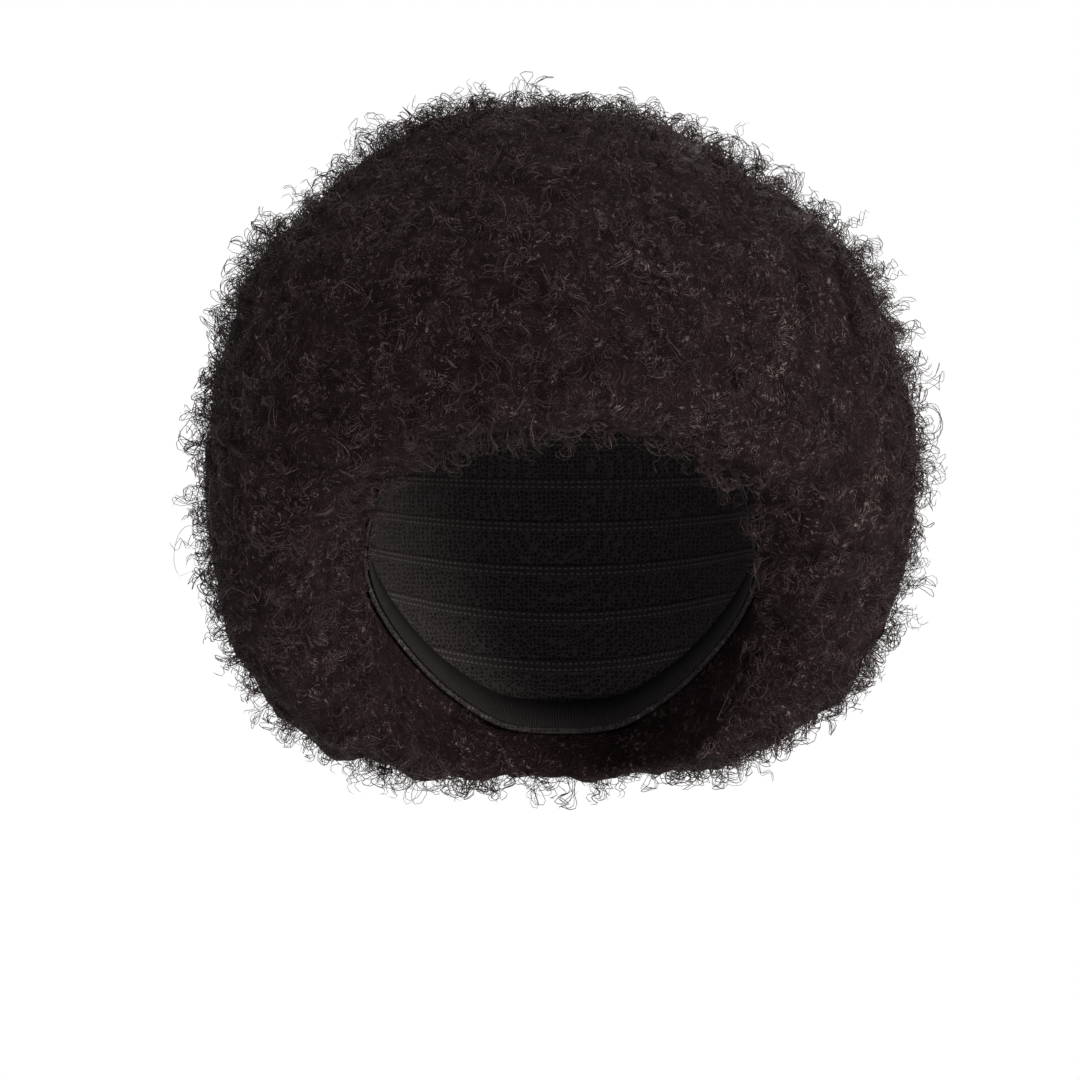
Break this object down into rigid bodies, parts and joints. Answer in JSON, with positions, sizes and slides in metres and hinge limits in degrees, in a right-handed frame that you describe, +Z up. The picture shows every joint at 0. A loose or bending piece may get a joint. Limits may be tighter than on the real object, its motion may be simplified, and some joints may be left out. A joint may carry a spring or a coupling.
{
  "type": "afro wig",
  "caption": "Round afro wig of tight curls in rows sewn to an open stretch cap, with an elastic band inside the rim.",
  "frame": {"origin": "inside of the cap at the crown, where it bears on the top of the head", "axes": "+Z up, out of the crown; -Y the way the wearer faces; +X to the right of a picture taken from in front"},
  "size_m": [0.2767, 0.2849, 0.2659],
  "materials": {
    "cap_net": "matt black stretch net",
    "band_elastic": "matt black ribbed elastic",
    "hair": "black-brown synthetic fibre with a soft sheen"
  },
  "bodies": {
    "root": {"cap": "cap_net", "edge_band": "band_elastic", "crown_curls": "hair", "weft_01": "hair", "weft_02": "hair", "weft_03": "hair", "weft_04": "hair", "weft_05": "hair", "weft_06": "hair", "weft_07": "hair", "weft_08": "hair", "weft_09": "hair", "weft_10": "hair", "weft_11": "hair", "weft_12": "hair", "weft_13": "hair", "weft_14": "hair"}
  },
  "joints": []
}
